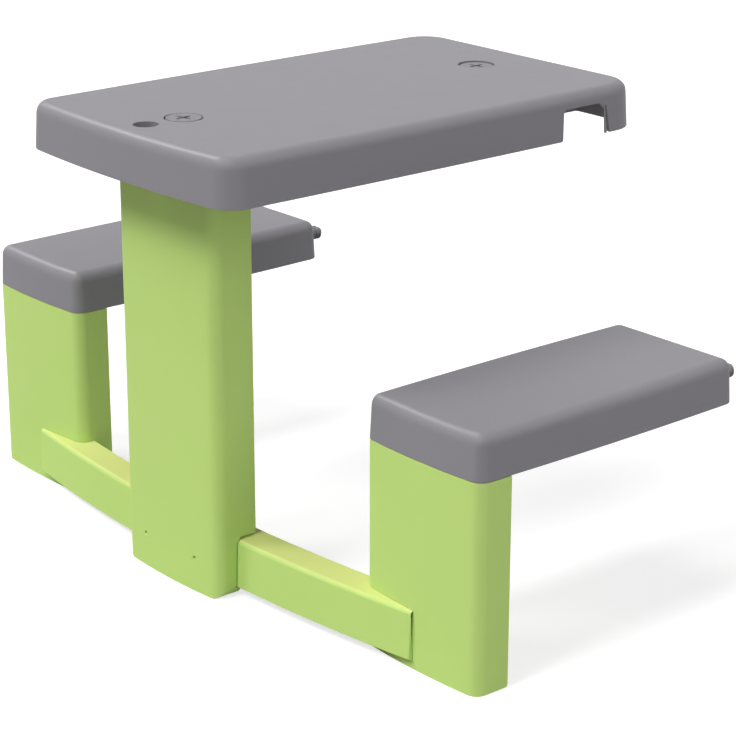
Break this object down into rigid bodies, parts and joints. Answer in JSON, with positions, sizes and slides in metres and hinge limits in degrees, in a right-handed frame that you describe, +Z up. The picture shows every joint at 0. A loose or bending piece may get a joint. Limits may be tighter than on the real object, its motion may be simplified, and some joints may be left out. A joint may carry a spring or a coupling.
{
  "type": "children's picnic table",
  "caption": "Child's moulded picnic table with bench seats, legs and a bowed crossbar; notches under its far end straddle a low wall that it is fixed to.",
  "frame": {"origin": "on the floor under the middle of the table, at the bottom centre of its bounding box", "axes": "+X to the right seat, across the table; +Y along the table to the wall that it is fixed to; +Z up"},
  "size_m": [0.8372, 0.5674, 0.495],
  "materials": {
    "grey_plastic": "satin moulded grey",
    "green_plastic": "satin moulded lime green",
    "grey_screw_plastic": "satin moulded grey",
    "screw_steel": "zinc plated"
  },
  "bodies": {
    "root": {"tabletop": "grey_plastic", "table_leg": "green_plastic", "left_seat": "grey_plastic", "right_seat": "grey_plastic", "left_seat_leg": "green_plastic", "right_seat_leg": "green_plastic", "crossbar": "green_plastic", "near_table_screw": "grey_screw_plastic", "far_table_screw": "grey_screw_plastic", "left_wall_studs": "grey_screw_plastic", "right_wall_studs": "grey_screw_plastic", "leg_bar_screws": "screw_steel", "left_seat_screws": "screw_steel", "right_seat_screws": "screw_steel", "left_bar_screw": "screw_steel", "right_bar_screw": "screw_steel"}
  },
  "joints": []
}
